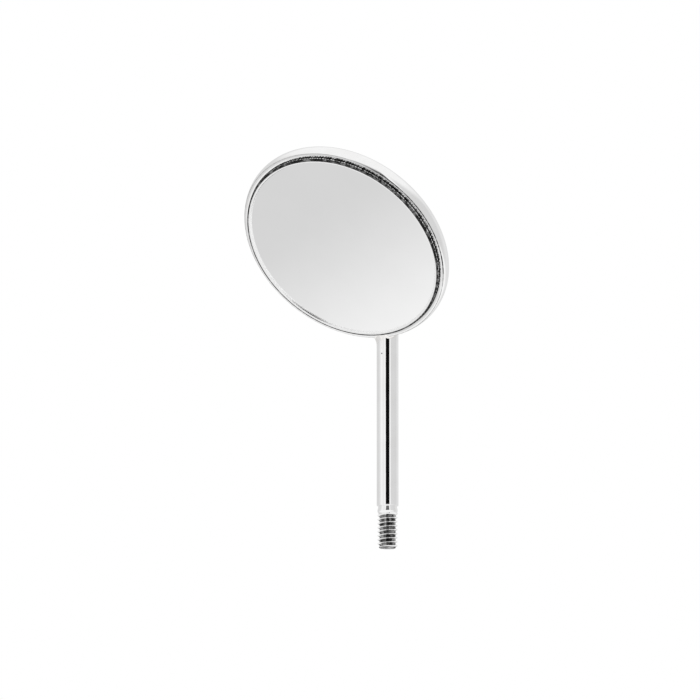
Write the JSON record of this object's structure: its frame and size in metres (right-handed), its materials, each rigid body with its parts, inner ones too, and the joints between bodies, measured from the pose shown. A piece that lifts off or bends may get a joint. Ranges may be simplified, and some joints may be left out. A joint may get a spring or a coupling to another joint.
{
  "type": "mouth mirror",
  "caption": "Round dental mouth mirror head: a flat mirror in a polished bezel and case, on a slanting round stem with a threaded spigot for a handle.",
  "frame": {"origin": "centre of the stem's shoulder, on the stem's axis, where the handle seats", "axes": "+Z along the stem from the spigot to the head; the mirror faces -Y and down, so YZ is the plane of symmetry; X is across the head"},
  "size_m": [0.022, 0.0159, 0.0383],
  "materials": {
    "case_steel": "mirror polished pressed steel",
    "bezel_steel": "mirror polished, burnished over the glass",
    "mirror_film": "bright front surface film",
    "clear_glass": "polished faces, ground edge",
    "sealant": "smooth cured sealing compound",
    "pad": "soft matt cushion sheet",
    "stem_steel": "polished bar with a cut thread",
    "silver_solder": "smooth flowed silver solder, polished"
  },
  "bodies": {
    "root": {"back_case": "case_steel", "bezel_ring": "bezel_steel", "reflecting_film": "mirror_film", "mirror_glass": "clear_glass", "edge_seal": "sealant", "backing_pad": "pad", "threaded_stem": "stem_steel", "solder_joint": "silver_solder"}
  },
  "joints": []
}
